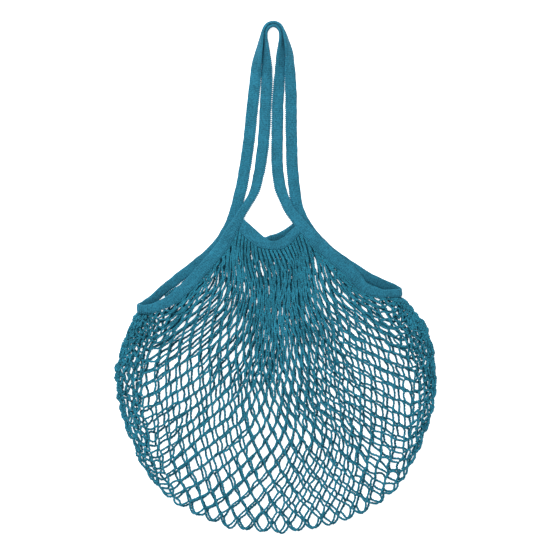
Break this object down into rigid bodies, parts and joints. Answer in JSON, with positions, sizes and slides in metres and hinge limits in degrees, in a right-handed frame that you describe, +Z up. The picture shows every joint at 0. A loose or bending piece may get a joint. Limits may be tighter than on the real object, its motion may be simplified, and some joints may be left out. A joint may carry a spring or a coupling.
{
  "type": "string shopping bag",
  "caption": "Knitted string shopping bag laid out flat, with an open net body, a tape-bound mouth and long tape handle loops.",
  "frame": {"origin": "centre of the bounding box in plan, on the surface that the bag lies on", "axes": "+Y along the bag towards the handles, +X to the right of someone who looks down on its front, +Z up from the surface"},
  "size_m": [0.3994, 0.6394, 0.0154],
  "materials": {
    "tape": "matt knitted cotton tape",
    "net": "matt knitted cotton cord"
  },
  "bodies": {
    "root": {"front_handle": "tape", "rear_handle": "tape", "left_side_band": "tape", "right_side_band": "tape", "front_centre_band": "tape", "rear_centre_band": "tape", "front_net": "net", "rear_net": "net"}
  },
  "joints": []
}
